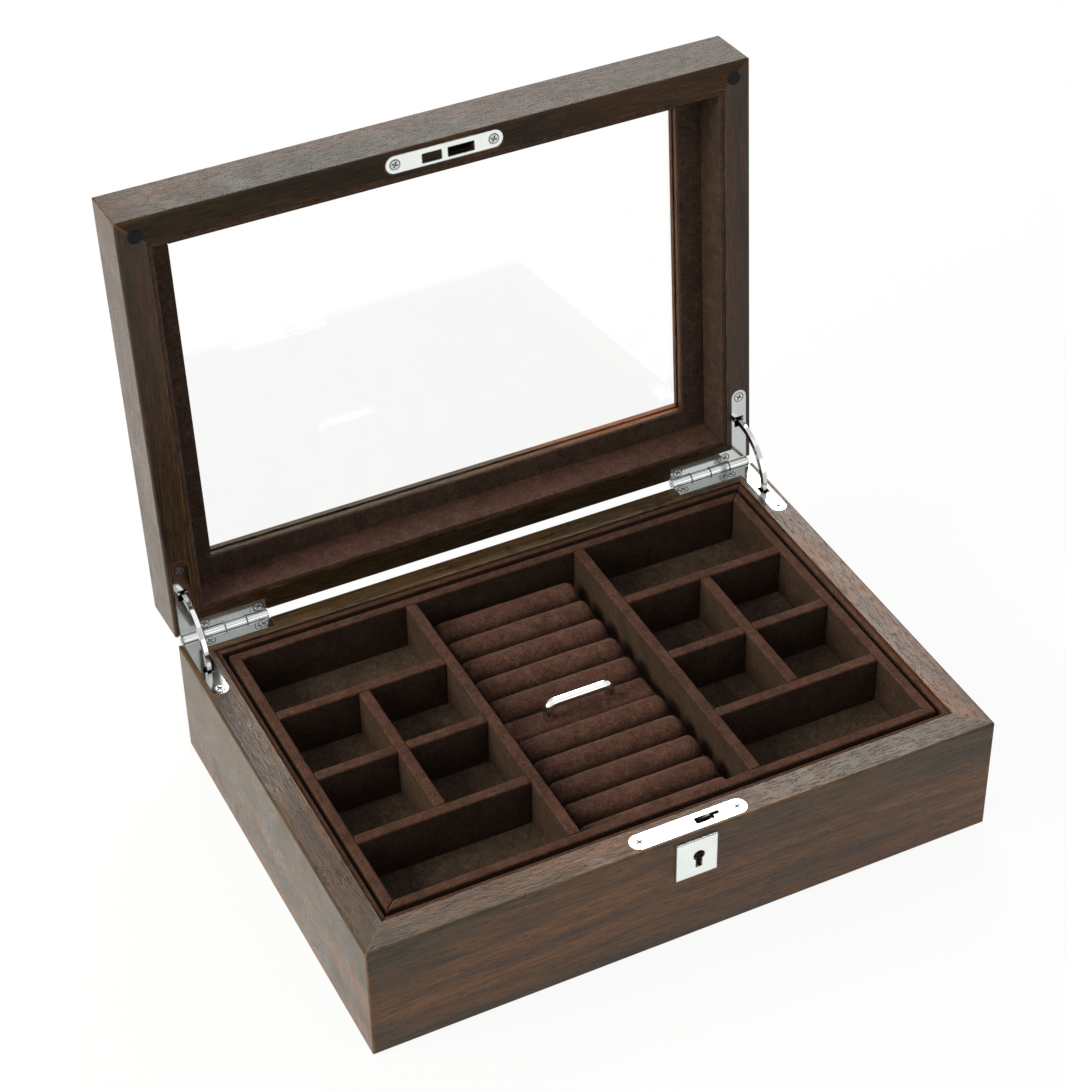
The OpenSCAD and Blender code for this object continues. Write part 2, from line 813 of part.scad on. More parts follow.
module lid_front_rail() { lid_rail("front"); }
module lid_back_rail() { lid_rail("back"); }
module lid_left_rail() { lid_rail("left"); }
module lid_right_rail() { lid_rail("right"); }

module window_frame(side) {
    color(walnut)
        opened()
            difference() {
                mitred(side, lid_in, window, frame_z, frame_t);
                filled(inset(window, -glass_grip - glass_fit, -glass_grip - glass_fit), glass_z, glass_t);
            }
}

module window_frame_front() { window_frame("front"); }
module window_frame_back() { window_frame("back"); }
module window_frame_left() { window_frame("left"); }
module window_frame_right() { window_frame("right"); }

module glass_pane() {
    color(glass_tint)
        opened()
            filled(inset(window, -glass_grip, -glass_grip), glass_z, glass_t);
}

// Four mitred strips of velvet on the inside of the window frame, with a fine seam at each corner.
module window_frame_trim() {
    color(velvet)
        opened()
            for (side = ["front", "back", "left", "right"]) {
                shy = side == "left" || side == "right" ? trim_seam : 0;
                mitred(side, inset(lid_liner_in, 0, shy), inset(window, 0, shy), frame_z - trim_t, trim_t);
            }
}

module lid_liner(side) {
    color(velvet)
        opened()
            mitred(side, lid_in, lid_liner_in, lid_z + lid_liner_gap, frame_z - lid_z - lid_liner_gap);
}

module lid_front_liner() { lid_liner("front"); }
module lid_back_liner() { lid_liner("back"); }
module lid_left_liner() { lid_liner("left"); }
module lid_right_liner() { lid_liner("right"); }

module bumper_pads() {
    color(pad_black)
        opened()
            for (s = [-1, 1])
                translate([s * (box_w / 2 - bumper_in_x), -box_d / 2 + bumper_in_y, lid_z - bumper_h])
                    cylinder(r = bumper_r, h = bumper_h);
}

module strike_plate() {
    color(chrome)
        opened()
            on_lid_rim()
                difference() {
                    rim_plate(strike_x, strike_plate_w, 0, plate_t);
                    plate_slot(strike_slot_left, strike_slot_right, strike_slot_w, strike_slot_shift);
                    plate_slot(strike_slot_left - slot_bridge - left_slot_len, strike_slot_left - slot_bridge,
                               strike_slot_w, strike_slot_shift);
                    at_plate_screws(strike_x)
                        wood_screw_hole();
                }
}

module strike_plate_screws() {
    color(chrome)
        opened()
            on_lid_rim()
                at_plate_screws(strike_x)
                    wood_screw();
}

// Places its children at both screws of the handle, at the underside of the tray.
module at_handle_screws() {
    for (s = [-1, 1])
        translate([s * handle_span / 2, row_y, tray_z])
            mirror([0, 0, 1])
                children();
}

module handle_screw_hole() {
    screw_body(screw_head_r, handle_screw_r, tray_floor_t + strip_h + handle_screw_grip, screw_fit);
}

module tray_floor() {
    color(dark_velvet)
        difference() {
            filled(tray_in, tray_z, tray_floor_t);
            at_handle_screws()
                handle_screw_hole();
        }
}

module tray_wall(side) {
    color(velvet)
        mitred(side, tray_out, tray_in, tray_z, tray_h);
}

module tray_front_wall() { tray_wall("front"); }
module tray_back_wall() { tray_wall("back"); }
module tray_left_wall() { tray_wall("left"); }
module tray_right_wall() { tray_wall("right"); }

module long_dividers() {
    color(velvet)
        for (s = [-1, 1])
            translate([s * long_divider_x - divider_t / 2, tray_in[1], tray_floor_z])
                cube([divider_t, tray_in[2] - tray_in[1], divider_h]);
}

// The three cross dividers of the right side. The middle one is notched for the short divider.
module cross_dividers() {
    color(velvet)
        for (row = [-1, 0, 1])
            difference() {
                translate([side_bay_in, row_y + row * row_pitch - divider_t / 2, tray_floor_z])
                    cube([tray_in[0] - side_bay_in, divider_t, divider_h]);
                if (row == 0)
                    translate([short_divider_x - divider_t / 2, row_y - divider_t, half_lap_z])
                        cube([divider_t, 2 * divider_t, divider_h]);
            }
}

module cross_dividers_right() { cross_dividers(); }
module cross_dividers_left() { mirror([1, 0, 0]) cross_dividers(); }

// The short divider of the right side, half-lapped over the middle cross divider.
module short_divider() {
    run = 2 * row_pitch - divider_t;
    color(velvet)
        difference() {
            translate([short_divider_x - divider_t / 2, row_y - run / 2, tray_floor_z])
                cube([divider_t, run, divider_h]);
            translate([short_divider_x - divider_t, row_y - divider_t / 2, tray_floor_z - eps])
                cube([2 * divider_t, divider_t, half_lap_z - tray_floor_z + eps]);
        }
}

module short_divider_right() { short_divider(); }
module short_divider_left() { mirror([1, 0, 0]) short_divider(); }

// A padded roll along X. It is full in the middle and drawn in at its ends.
module ring_roll() {
    steps = 12;
    profile = [for (i = [0:steps])
        let (s = -cos(i * 180 / steps))
            [roll_r * sqrt(max(0, 1 - pow(abs(s), roll_end_power))), s * roll_len / 2]];
    rotate([0, 90, 0])
        rotate_extrude()
            polygon(profile);
}

module ring_rolls() {
    color(velvet)
        translate([0, row_y, tray_floor_z + roll_r]) {
            for (i = [0:rolls_front - 1])
                translate([0, -roll_first - i * roll_pitch, 0])
                    ring_roll();
            for (i = [0:rolls_back - 1])
                translate([0, roll_first + i * roll_pitch, 0])
                    ring_roll();
        }
}

module handle_strip() {
    color(velvet)
        difference() {
            translate([-roll_len / 2, row_y, tray_floor_z + strip_h / 2])
                rotate([90, 0, 90])
                    linear_extrude(roll_len)
                        rounded_rect(strip_w, strip_h, strip_r);
            at_handle_screws()
                handle_screw_hole();
        }
}

// A bar with two bent legs.
module tray_handle() {
    leg_h = handle_h - handle_r - handle_bend_r;
    bar_half = handle_span / 2 - handle_bend_r;
    color(chrome)
        difference() {
            translate([0, row_y, tray_floor_z + strip_h]) {
                for (s = [0, 1])
                    mirror([s, 0, 0]) {
                        translate([handle_span / 2, 0, 0])
                            cylinder(r = handle_r, h = leg_h);
                        translate([bar_half, 0, leg_h])
                            rotate([90, 0, 0])
                                rotate_extrude(angle = 90)
                                    translate([handle_bend_r, 0])
                                        circle(handle_r);
                    }
                translate([-bar_half, 0, leg_h + handle_bend_r])
                    rotate([0, 90, 0])
                        cylinder(r = handle_r, h = 2 * bar_half);
            }
            at_handle_screws()
                handle_screw_hole();
        }
}

module handle_screws() {
    color(steel)
        at_handle_screws()
            screw(screw_head_r, handle_screw_r, tray_floor_t + strip_h + handle_screw_grip);
}

front_wall();
back_wall();
left_wall();
right_wall();
bottom_panel();
underside_felt();
front_liner();
back_liner();
left_liner();
right_liner();
storage_floor_pad();
tray_ledge_left();
tray_ledge_right();
base_hinge_leaf_left();
base_hinge_leaf_right();
hinge_pins();
base_hinge_screws();
lock_plate();
lock_plate_screws();
lock_case();
hook_bolt();
bolt_pivot();
detent_spring();
escutcheon();
lid_front_rail();
lid_back_rail();
lid_left_rail();
lid_right_rail();
window_frame_front();
window_frame_back();
window_frame_left();
window_frame_right();
glass_pane();
window_frame_trim();
lid_front_liner();
lid_back_liner();
lid_left_liner();
lid_right_liner();
bumper_pads();
strike_plate();
strike_plate_screws();
lid_hinge_leaf_left();
lid_hinge_leaf_right();
lid_hinge_screws();
stay_left();
stay_right();
tray_floor();
tray_front_wall();
tray_back_wall();
tray_left_wall();
tray_right_wall();
long_dividers();
cross_dividers_left();
cross_dividers_right();
short_divider_left();
short_divider_right();
ring_rolls();
handle_strip();
tray_handle();
handle_screws();
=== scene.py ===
"""Looks of the box for cufflinks and rings: wood, velvet, chrome, glass, light and camera."""
import json
import math
import random

import bpy
from mathutils import Matrix, Vector, noise

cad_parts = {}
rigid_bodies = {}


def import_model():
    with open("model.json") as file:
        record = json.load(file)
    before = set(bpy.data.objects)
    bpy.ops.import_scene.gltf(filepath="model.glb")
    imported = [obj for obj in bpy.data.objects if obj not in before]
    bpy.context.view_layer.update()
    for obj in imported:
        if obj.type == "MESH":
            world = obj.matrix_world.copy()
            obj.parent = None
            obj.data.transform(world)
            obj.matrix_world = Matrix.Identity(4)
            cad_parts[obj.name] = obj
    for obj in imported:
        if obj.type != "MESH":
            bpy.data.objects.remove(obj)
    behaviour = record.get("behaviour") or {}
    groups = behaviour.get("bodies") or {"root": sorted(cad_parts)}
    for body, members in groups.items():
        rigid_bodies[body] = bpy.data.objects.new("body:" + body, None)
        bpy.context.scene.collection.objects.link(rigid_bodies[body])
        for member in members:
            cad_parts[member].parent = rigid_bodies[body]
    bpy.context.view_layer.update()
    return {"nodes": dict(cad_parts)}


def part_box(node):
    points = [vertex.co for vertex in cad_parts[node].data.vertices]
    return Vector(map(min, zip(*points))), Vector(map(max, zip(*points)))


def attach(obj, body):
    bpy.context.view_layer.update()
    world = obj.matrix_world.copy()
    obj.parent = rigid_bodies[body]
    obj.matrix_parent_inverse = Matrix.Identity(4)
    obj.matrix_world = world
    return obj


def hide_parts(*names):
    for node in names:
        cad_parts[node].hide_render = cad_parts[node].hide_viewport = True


for item in list(bpy.data.objects):
    bpy.data.objects.remove(item)

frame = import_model()
nodes = frame["nodes"]

MM = 0.001
# Materials
WORN_WIDTH = 1.3 * MM
RUBBED_WIDTH = 1.4 * MM
PAD_EDGE_WIDTH = 0.3 * MM
RINGS_PER_METRE = 85.0
# Painted dark edges of the chrome: painted shade and painted dark reflection
METAL_EDGE_GAIN = 70.0
METAL_EDGE_SHADE = 0.04
# Mesh clean-up and rounding
WELD_DISTANCE = 1e-6
FLAT_ANGLE = math.radians(0.5)
SHARP_ANGLE = math.radians(35)
WOOD_ROUND = 0.25 * MM
DIVIDER_ROUND = 0.9 * MM
# Padded pieces
ROLLS_EACH_SIDE = 5
BAR_RINGS = 64
BAR_AROUND = 44
ROLL_POWER = 2.25
STRIP_POWER = 6.0
ROLL_END_POWER = 34.0
STRIP_END_POWER = 60.0
ROLL_SEED = 40
STRIP_SEED = 60
# Studio
FLOOR_HALF = 1.2
FLOOR_DROP = 0.05 * MM
FLOOR_SHADOW = 0.08
WORLD_DIFFUSE = 0.15
AIM = (0, 0, 0.06)

# ---------------------------------------------------------------- node helpers


class Tree:
    """Short ways to make and link shader nodes."""

    def __init__(self, name):
        self.mat = bpy.data.materials.new(name)
        self.mat.use_nodes = True
        self.nodes = self.mat.node_tree.nodes
        self.links = self.mat.node_tree.links
        self.nodes.clear()
        self.out = self.nodes.new("ShaderNodeOutputMaterial")
        self.bsdf = self.nodes.new("ShaderNodeBsdfPrincipled")
        self.link(self.bsdf.outputs[0], self.out.inputs["Surface"])

    def link(self, a, b):
        self.links.new(a, b)

    def put(self, socket, value):
        if isinstance(value, bpy.types.NodeSocket):
            self.link(value, socket)
        else:
            socket.default_value = value

    def set(self, **values):
        for key, value in values.items():
            self.put(self.bsdf.inputs[key.replace("_", " ")], value)

    def object_coords(self):
        return self.nodes.new("ShaderNodeTexCoord").outputs["Object"]

    def mapped(self, vector, scale=(1, 1, 1), turn=(0, 0, 0), shift=(0, 0, 0)):
        n = self.nodes.new("ShaderNodeMapping")
        self.link(vector, n.inputs["Vector"])
        n.inputs["Scale"].default_value = scale
        n.inputs["Rotation"].default_value = turn
        n.inputs["Location"].default_value = shift
        return n.outputs[0]

    def noise(self, vector, scale, detail=3.0, rough=0.55, warp=0.0):
        n = self.nodes.new("ShaderNodeTexNoise")
        self.link(vector, n.inputs["Vector"])
        n.inputs["Scale"].default_value = scale
        n.inputs["Detail"].default_value = detail
        n.inputs["Roughness"].default_value = rough
        n.inputs["Distortion"].default_value = warp
        return n.outputs["Fac"]

    def math(self, op, a, b=None, c=None, clamp=False):
        n = self.nodes.new("ShaderNodeMath")
        n.operation = op
        n.use_clamp = clamp
        for socket, value in zip(n.inputs, (a, b, c)):
            if value is not None:
                self.put(socket, value)
        return n.outputs[0]

    def ramp(self, fac, *stops):
        n = self.nodes.new("ShaderNodeValToRGB")
        self.link(fac, n.inputs["Fac"])
        ramp = n.color_ramp
        while len(ramp.elements) < len(stops):
            ramp.elements.new(0.5)
        for element, (at, colour) in zip(ramp.elements, stops):
            element.position = at
            if not isinstance(colour, tuple):
                colour = (colour,) * 3
            element.color = (*colour, 1)
        return n.outputs["Color"]

    def mix(self, fac, a, b, blend="MIX"):
        n = self.nodes.new("ShaderNodeMix")
        n.data_type = "RGBA"
        n.blend_type = blend
        self.put(n.inputs["Factor"], fac)
        for socket, value in ((n.inputs["A"], a), (n.inputs["B"], b)):
            if isinstance(value, tuple):
                value = (*value, 1)
            self.put(socket, value)
        return n.outputs["Result"]

    def edges(self, radius, gain=6.0):
        """White along the edges of a piece, black on its faces."""
        bevel = self.nodes.new("ShaderNodeBevel")
        bevel.samples = 6
        bevel.inputs["Radius"].default_value = radius
        flat = self.nodes.new("ShaderNodeNewGeometry").outputs["Normal"]
        dot = self.nodes.new("ShaderNodeVectorMath")
        dot.operation = "DOT_PRODUCT"
        self.link(bevel.outputs[0], dot.inputs[0])
        self.link(flat, dot.inputs[1])
        away = self.math("SUBTRACT", 1.0, dot.outputs["Value"])
        return self.math("MULTIPLY", away, gain, clamp=True)

    def bump(self, height, strength, distance):
        n = self.nodes.new("ShaderNodeBump")
        n.inputs["Strength"].default_value = strength
        n.inputs["Distance"].default_value = distance
        self.link(height, n.inputs["Height"])
        return n.outputs[0]


# ---------------------------------------------------------------- materials

# The open lid leans back by this from upright
LID_TILT = math.radians(4)
# The turn that brings a piece's grain to the X axis of its texture
ALONG_X = (0, 0, 0)
ALONG_Y = (0, 0, -math.pi / 2)
ALONG_LID = (LID_TILT, math.pi / 2, 0)


def walnut(name, grain, seed, tone=1.0, red=1.0, warm=0.55, gloss=0.26,
           figure=(0.03, -0.05)):
    """Satin lacquered walnut, its grain turned to X by grain.

    tone, red and warm set lightness, redness and warm bands, gloss the specular level,
    and figure the middle of the year rings.
    """
    t = Tree(name)
    rng = random.Random(seed)
    start = t.mapped(t.object_coords(), turn=grain)
    start = t.mapped(start, shift=(rng.uniform(-3, 3), 0, 0))
    # Slow waves of the board, long along the grain
    wave = t.noise(t.mapped(start, scale=(0.8, 4, 4)), 4.5, 3.0, 0.55)
    sep = t.nodes.new("ShaderNodeSeparateXYZ")
    t.link(start, sep.inputs[0])
    across = t.math("ADD", sep.outputs["Y"], figure[0])
    depth = t.math("ADD", sep.outputs["Z"], figure[1])
    across = t.math("MULTIPLY_ADD", wave, 0.07, across)
    ring = t.math("SQRT", t.math("ADD", t.math("MULTIPLY", across, across),
                                 t.math("MULTIPLY", depth, depth)))
    broad = t.noise(t.mapped(start, scale=(0.35, 1.6, 1.6)), 26.0, 5.0, 0.62, 0.4)
    ragged = t.noise(t.mapped(start, scale=(0.07, 1, 1)), 420.0, 3.0, 0.6)
    ring = t.math("MULTIPLY_ADD", broad, 0.014, ring)
    ring = t.math("MULTIPLY_ADD", ragged, 0.004, ring)
    year = t.math("FRACT", t.math("MULTIPLY", ring, RINGS_PER_METRE))
    late = t.ramp(year, (0.0, 0.3), (0.2, 0.0), (0.6, 0.1), (0.86, 0.75), (1.0, 0.35))
    fibre = t.noise(t.mapped(start, scale=(0.05, 1, 1)), 1300.0, 4.0, 0.7)
    pore = t.noise(t.mapped(start, scale=(0.11, 1, 1)), 1500.0, 2.0, 0.6)
    pores = t.ramp(pore, (0.56, 0.0), (0.64, 1.0))
    base = t.ramp(broad,
                  (0.30, (0.090 * tone, 0.056 * tone, 0.024 * tone)),
                  (0.46, (0.126 * tone, 0.076 * tone, 0.028 * tone)),
                  (0.56, (0.162 * tone * red, 0.090 * tone, 0.030 * tone)),
                  (0.72, (0.220 * tone * red, 0.105 * tone, 0.032 * tone)))
    # Warm bands of the heartwood
    band = t.noise(t.mapped(start, scale=(0.22, 1.5, 1.5)), 13.0, 2.0, 0.5, 0.6)
    glow = t.ramp(band, (0.47, 0.0), (0.60, warm))
    base = t.mix(glow, base, (0.30 * tone * red, 0.122 * tone, 0.036 * tone))
    streak = t.ramp(late, (0.0, 0.0), (1.0, 0.75))
    colour = t.mix(streak, base, (0.040 * tone, 0.026 * tone, 0.015 * tone))
    # Fine fibres and open pores
    light = t.ramp(fibre, (0.36, 0.5), (0.64, 1.5))
    colour = t.mix(1.0, colour, light, "MULTIPLY")
    colour = t.mix(t.math("MULTIPLY", pores, 0.7), colour, (0.014, 0.009, 0.006))
    patchy = t.noise(start, 42.0, 3.0, 0.65, 1.2)
    # Patchy wear along the edges
    worn = t.math("MULTIPLY", t.edges(WORN_WIDTH), t.ramp(patchy, (0.46, 0.0), (0.62, 1.0)))
    colour = t.mix(t.math("MULTIPLY", worn, 0.75), colour, (0.27, 0.125, 0.048))
    rough = t.math("ADD", t.math("MULTIPLY", fibre, 0.26),
                   t.math("MULTIPLY", patchy, 0.36))
    height = t.math("ADD", t.math("MULTIPLY", fibre, 0.5), ragged)
    height = t.math("SUBTRACT", height, pores)
    t.set(Base_Color=colour, Roughness=rough, Normal=t.bump(height, 0.5, 0.16 * MM))
    t.set(Specular_IOR_Level=gloss)
    t.set(Sheen_Weight=0.3, Sheen_Roughness=0.3, Sheen_Tint=(1.0, 0.94, 0.78, 1))
    return t.mat


def velvet(name, colour, seed, sheen=0.22, mottle=0.25, root=0.52):
    """Short pile velvet: nap shading, fuzz, a soft sheen and painted shade on its upright faces.
    """
    t = Tree(name)
    rng = random.Random(seed)
    start = t.mapped(t.object_coords(), shift=(rng.uniform(-1, 1),) * 3)
    nap = t.noise(start, 95.0, 4.0, 0.62, 0.6)
    stroke = t.noise(t.mapped(start, scale=(1, 0.35, 1)), 420.0, 3.0, 0.65)
    pile = t.noise(start, 1500.0, 2.0, 0.75)
    low = 1 - mottle
    patch = t.noise(start, 330.0, 3.0, 0.6, 0.8)
    shade = t.mix(1.0, t.ramp(nap, (0.3, low), (0.7, 1 + mottle)),
                  t.ramp(patch, (0.3, low), (0.7, 1 + mottle)), "MULTIPLY")
    shade = t.mix(1.0, shade,
                  t.ramp(stroke, (0.3, 1 - mottle / 2), (0.7, 1 + mottle / 2)), "MULTIPLY")
    shade = t.mix(1.0, shade, t.ramp(pile, (0.3, 0.45), (0.7, 1.55)), "MULTIPLY")
    rubbed = t.math("MULTIPLY", t.edges(RUBBED_WIDTH), 0.5)
    # Darker and a little greener on upright faces of the piece, by root: partly the hanging pile's
    # own colour, partly painted shade
    sep = t.nodes.new("ShaderNodeSeparateXYZ")
    t.link(t.nodes.new("ShaderNodeTexCoord").outputs["Normal"], sep.inputs[0])
    facing = t.ramp(t.math("ABSOLUTE", sep.outputs["Z"]), (0.15, 0.0), (0.75, 1.0))
    upright_shade_colour = tuple(c * k * root for c, k in zip(colour, (0.92, 1.14, 1.12)))
    colour_with_upright_shade = t.mix(facing, upright_shade_colour, colour)
    dark = t.mix(1.0, colour_with_upright_shade, shade, "MULTIPLY")
    worn = t.mix(rubbed, dark, tuple(c * 1.6 for c in colour))
    height = t.math("ADD", t.math("MULTIPLY", pile, 0.6), stroke)
    t.set(Base_Color=worn, Roughness=t.ramp(stroke, (0.3, 0.85), (0.7, 1.0)),
          Normal=t.bump(height, 0.7, 0.25 * MM))
    t.set(Specular_IOR_Level=0.06)
    t.set(Sheen_Weight=sheen, Sheen_Roughness=0.42, Sheen_Tint=(0.6, 0.36, 0.28, 1))
    return t.mat


def chrome(name, colour, seed, rough=(0.05, 0.16), painted_edge_shade=0.85, rim=0.4):
    """Polished plating with fine scratches, smudges and painted dark edges (painted shade and
    painted dark reflection), rim mm wide.
    """
    t = Tree(name)
    rng = random.Random(seed)
    start = t.mapped(t.object_coords(), shift=(rng.uniform(-1, 1),) * 3)
    smudge = t.noise(start, 120.0, 4.0, 0.6)
    fine = t.noise(t.mapped(start, scale=(0.12, 1, 1), turn=(0, 0, 0.5)), 3000.0, 2.0, 0.6)
    # Edges, gaps round the plates and screw rings are darkened in the colour: painted shade and
    # painted dark reflection
    painted_dark_edge = t.edges(rim * MM, METAL_EDGE_GAIN)
    tint = t.ramp(smudge, (0.3, tuple(c * 0.9 for c in colour)), (0.7, colour))
    tint = t.mix(t.math("MULTIPLY", painted_dark_edge, painted_edge_shade), tint,
                 tuple(c * METAL_EDGE_SHADE for c in colour))
    gloss = t.math("ADD", t.math("MULTIPLY", smudge, 0.7), t.math("MULTIPLY", fine, 0.3))
    gloss = t.ramp(gloss, (0.3, rough[0]), (0.7, rough[1]))
    t.set(Base_Color=tint, Metallic=1.0, Roughness=gloss, Normal=t.bump(fine, 0.05, 0.05 * MM))
    return t.mat


def brushed(name, colour, seed):
    """Plain steel of the hidden lock."""
    t = Tree(name)
    rng = random.Random(seed)
    start = t.mapped(t.object_coords(), shift=(rng.uniform(-1, 1),) * 3)
    lines = t.noise(t.mapped(start, scale=(0.05, 1, 1)), 1800.0, 3.0, 0.65)
    cloud = t.noise(start, 90.0, 3.0)
    tint = t.mix(cloud, tuple(c * 0.75 for c in colour), colour)
    t.set(Base_Color=tint, Metallic=1.0, Roughness=t.ramp(lines, (0.3, 0.25), (0.7, 0.45)),
          Normal=t.bump(lines, 0.12, 0.05 * MM))
    return t.mat


def plywood(name):
    """Bare birch plywood, for the panel under the felt."""
    t = Tree(name)
    start = t.object_coords()
    broad = t.noise(t.mapped(start, scale=(0.2, 1, 1)), 40.0, 4.0)
    fibre = t.noise(t.mapped(start, scale=(0.04, 1, 1)), 900.0, 3.0, 0.7)
    colour = t.ramp(broad, (0.3, (0.36, 0.22, 0.11)), (0.7, (0.5, 0.34, 0.18)))
    colour = t.mix(1.0, colour, t.ramp(fibre, (0.3, 0.75), (0.7, 1.2)), "MULTIPLY")
    t.set(Base_Color=colour, Roughness=t.ramp(fibre, (0.3, 0.6), (0.7, 0.75)),
          Normal=t.bump(fibre, 0.2, 0.1 * MM))
    return t.mat


def rubber(name):
    """Dark rubber of the bumpers, paler at the edges."""
    t = Tree(name)
    start = t.object_coords()
    grain = t.noise(start, 2200.0, 3.0, 0.6)
    cloud = t.noise(start, 300.0, 2.0)
    colour = t.ramp(cloud, (0.3, (0.008, 0.008, 0.011)), (0.7, (0.016, 0.016, 0.021)))
    colour = t.mix(t.math("MULTIPLY", t.edges(PAD_EDGE_WIDTH), 0.4), colour, (0.035, 0.036, 0.042))
    t.set(Base_Color=colour, Roughness=t.ramp(grain, (0.3, 0.4), (0.7, 0.55)),
          Normal=t.bump(grain, 0.2, 0.06 * MM))
    t.set(Specular_IOR_Level=0.1)
    return t.mat


def window_glass(name):
    """Clear float glass, with a faint film of dust in its colour and roughness."""
    t = Tree(name)
    start = t.object_coords()
    haze = t.noise(start, 60.0, 4.0, 0.6)
    t.set(Base_Color=t.ramp(haze, (0.35, (0.985, 0.995, 0.99)), (0.7, (0.995, 1.0, 0.998))),
          Roughness=t.ramp(haze, (0.4, 0.0), (0.8, 0.002)))
    t.set(Transmission_Weight=1.0, IOR=1.45)
    return t.mat


WALNUT_DARK = dict(tone=0.25, red=1.08, warm=0.6)
wood_front = walnut("walnut_front", ALONG_X, 3, tone=0.53, warm=0.95, gloss=0.28,
                    figure=(0.012, -0.085))
wood_back = walnut("walnut_back", ALONG_X, 5, tone=0.5, warm=0.4, figure=(0.02, -0.09))
wood_side = walnut("walnut_side", ALONG_Y, 8, tone=0.46, red=1.15, warm=0.7, gloss=0.28,
                   figure=(0.06, -0.08))
lid_front = walnut("lid_walnut_front", ALONG_X, 11, gloss=0.13, figure=(0.02, -0.3),
                   **WALNUT_DARK)
lid_back = walnut("lid_walnut_back", ALONG_X, 13, gloss=0.13, figure=(0.02, -0.1),
                  **WALNUT_DARK)
lid_side = walnut("lid_walnut_side", ALONG_LID, 17, gloss=0.32, figure=(0.05, -0.09),
                  **WALNUT_DARK)
frame_long = walnut("window_frame_long", ALONG_X, 19, tone=0.66, red=1.3, warm=1.0, gloss=0.08)
frame_side = walnut("window_frame_side", ALONG_LID, 20, tone=0.4, red=1.2, warm=1.0, gloss=0.08)
velvet_top = velvet("velvet_brown", (0.078, 0.0375, 0.0270), 21, mottle=0.26)
velvet_roll = velvet("velvet_roll", (0.090, 0.0440, 0.0330), 22, mottle=0.26)
velvet_floor = velvet("velvet_floor", (0.074, 0.050, 0.036), 23, sheen=0.15)
# The lid's copy of the velvet is a lighter colour and has a higher root, which gives its upright
# liners less painted shade
velvet_lid = velvet("velvet_lid", (0.092, 0.047, 0.036), 24, sheen=0.2, root=0.8)
felt_under = velvet("felt_under", (0.030, 0.018, 0.014), 25, sheen=0.2, mottle=0.15)
plating = chrome("bright_chrome", (0.56, 0.58, 0.57), 31, painted_edge_shade=0.95, rim=0.5)
screw_steel = chrome("screw_chrome", (0.7, 0.71, 0.7), 35, rough=(0.2, 0.32), painted_edge_shade=1.0,
                     rim=0.45)
plate_nickel = chrome("plate_nickel", (0.9, 0.94, 0.9), 33, rough=(0.12, 0.22), painted_edge_shade=0.95,
                      rim=0.7)
stay_chrome = chrome("stay_chrome", (0.62, 0.63, 0.62), 36, painted_edge_shade=0.4, rim=0.3)
handle_chrome = chrome("handle_chrome", (0.82, 0.83, 0.82), 34, painted_edge_shade=0.3)
steel = brushed("lock_steel", (0.55, 0.55, 0.53), 32)
panel = plywood("birch_panel")
pad = rubber("bumper_rubber")
glass = window_glass("clear_glass")

# ---------------------------------------------------------------- finish of the CAD nodes


def modifier_group(name):
    """An empty geometry node group with its input and output nodes."""
    group = bpy.data.node_groups.new(name, "GeometryNodeTree")
    group.interface.new_socket("Geometry", in_out="INPUT", socket_type="NodeSocketGeometry")
    group.interface.new_socket("Geometry", in_out="OUTPUT", socket_type="NodeSocketGeometry")
    return group, group.nodes.new("NodeGroupInput"), group.nodes.new("NodeGroupOutput")


def clean_group():
    """Welds a CAD mesh, drops its stored normals and shades it smooth."""
    group, first, last = modifier_group("clean_mesh")
    merge = group.nodes.new("GeometryNodeMergeByDistance")
    merge.inputs["Distance"].default_value = WELD_DISTANCE
    drop = group.nodes.new("GeometryNodeRemoveAttribute")
    drop.inputs["Name"].default_value = "custom_normal"
    smooth = group.nodes.new("GeometryNodeSetShadeSmooth")
    group.links.new(first.outputs[0], merge.inputs["Geometry"])
    group.links.new(merge.outputs[0], drop.inputs["Geometry"])
    group.links.new(drop.outputs[0], smooth.inputs["Geometry"])
    group.links.new(smooth.outputs[0], last.inputs[0])
    return group


def sharp_group():
    """Keeps an edge sharp where its faces still meet at a clear angle."""
    group, first, last = modifier_group("sharp_edges")
    angle = group.nodes.new("GeometryNodeInputMeshEdgeAngle")
    less = group.nodes.new("FunctionNodeCompare")
    less.operation = "LESS_THAN"
    less.inputs["B"].default_value = SHARP_ANGLE
    smooth = group.nodes.new("GeometryNodeSetShadeSmooth")
    smooth.domain = "EDGE"
    group.links.new(angle.outputs["Unsigned Angle"], less.inputs["A"])
    group.links.new(first.outputs[0], smooth.inputs["Geometry"])
    group.links.new(less.outputs[0], smooth.inputs["Shade Smooth"])
    group.links.new(smooth.outputs[0], last.inputs[0])
    return group


CLEAN = clean_group()
SHARP = sharp_group()


def soften(obj, width, segments=2):
    """Rounds a piece's sharp edges."""
    obj.modifiers.new("clean", "NODES").node_group = CLEAN
    flat = obj.modifiers.new("flat_faces", "DECIMATE")
    flat.decimate_type = "DISSOLVE"
    flat.angle_limit = FLAT_ANGLE
    if width:
        bevel = obj.modifiers.new("edges", "BEVEL")
        bevel.width = width
        bevel.segments = segments
        bevel.limit_method = "ANGLE"
        bevel.angle_limit = SHARP_ANGLE
        bevel.use_clamp_overlap = True
    obj.modifiers.new("sharp", "NODES").node_group = SHARP
    weighted = obj.modifiers.new("flat_normals", "WEIGHTED_NORMAL")
    weighted.keep_sharp = True
    weighted.weight = 100


def dress(material, width, *names, segments=2):
    """Gives CAD nodes their material and rounds their edges by width."""
    for name in names:
        obj = nodes[name]
        obj.data.materials.clear()
        obj.data.materials.append(material)
        soften(obj, width, segments)


def sides(*parts):
    """The left and the right node of each part."""
    return [f"{a}_{b}" for a in parts for b in ("left", "right")]


